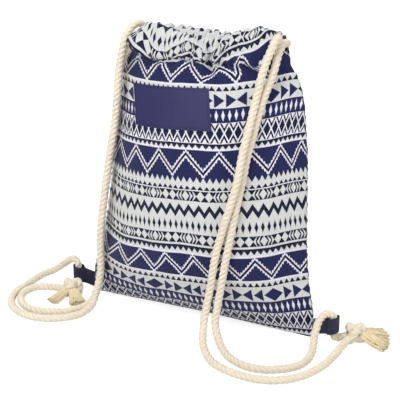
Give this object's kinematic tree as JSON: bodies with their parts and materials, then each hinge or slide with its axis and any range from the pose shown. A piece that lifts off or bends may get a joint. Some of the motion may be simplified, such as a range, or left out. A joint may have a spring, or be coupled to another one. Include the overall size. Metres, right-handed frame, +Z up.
{
  "type": "drawstring backpack",
  "caption": "Soft drawstring backpack of patterned woven cotton, with a gathered tunnel mouth, twisted rope straps, corner tabs and a blank label patch.",
  "frame": {"origin": "on the ground, under the middle of the bag without its ropes and knots", "axes": "+Z up; the front, with the label, faces -Y; +X to the right seen from the front"},
  "size_m": [0.5453, 0.2179, 0.3974],
  "materials": {
    "woven_cotton": "matt jacquard weave in navy and off-white bands",
    "leatherette": "smooth navy leatherette with a soft sheen",
    "dark_leatherette": "dark navy leatherette",
    "cotton_rope": "matt three-strand twisted cotton"
  },
  "bodies": {
    "root": {"front_panel": "woven_cotton", "back_panel": "woven_cotton", "label_patch": "leatherette", "tab_left": "dark_leatherette", "tab_right": "dark_leatherette", "rope_left": "cotton_rope", "rope_right": "cotton_rope", "knot_left": "cotton_rope", "knot_right": "cotton_rope"}
  },
  "joints": []
}
